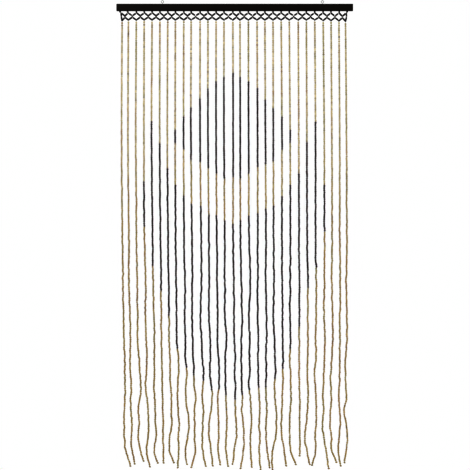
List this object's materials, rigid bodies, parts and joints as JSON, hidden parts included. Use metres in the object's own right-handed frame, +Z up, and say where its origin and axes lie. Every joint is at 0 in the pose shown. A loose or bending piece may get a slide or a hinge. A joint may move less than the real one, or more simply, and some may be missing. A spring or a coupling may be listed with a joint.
{
  "type": "bead curtain on a rail",
  "caption": "Bead curtain: a slat with screw eyes, a heading net of long beads, and uneven hanging strands of small wooden beads with a dark pattern.",
  "frame": {"origin": "centre of the slat's top face", "axes": "+X to the right seen from the front, -Y to the front, +Z up; the strands hang towards -Z"},
  "size_m": [0.9, 0.0171, 1.7892],
  "materials": {
    "rail_wood": "black stained slat, satin",
    "eye_steel": "plated wire",
    "natural_beads": "natural turned wood, thin lacquer",
    "dark_beads": "dark brown stained wood, thin lacquer",
    "heading_beads": "black stained wood, thin lacquer",
    "string": "pale nylon string"
  },
  "bodies": {
    "root": {"rail": "rail_wood", "eye_left": "eye_steel", "eye_right": "eye_steel", "bead_net": "natural_beads"}
  },
  "joints": []
}
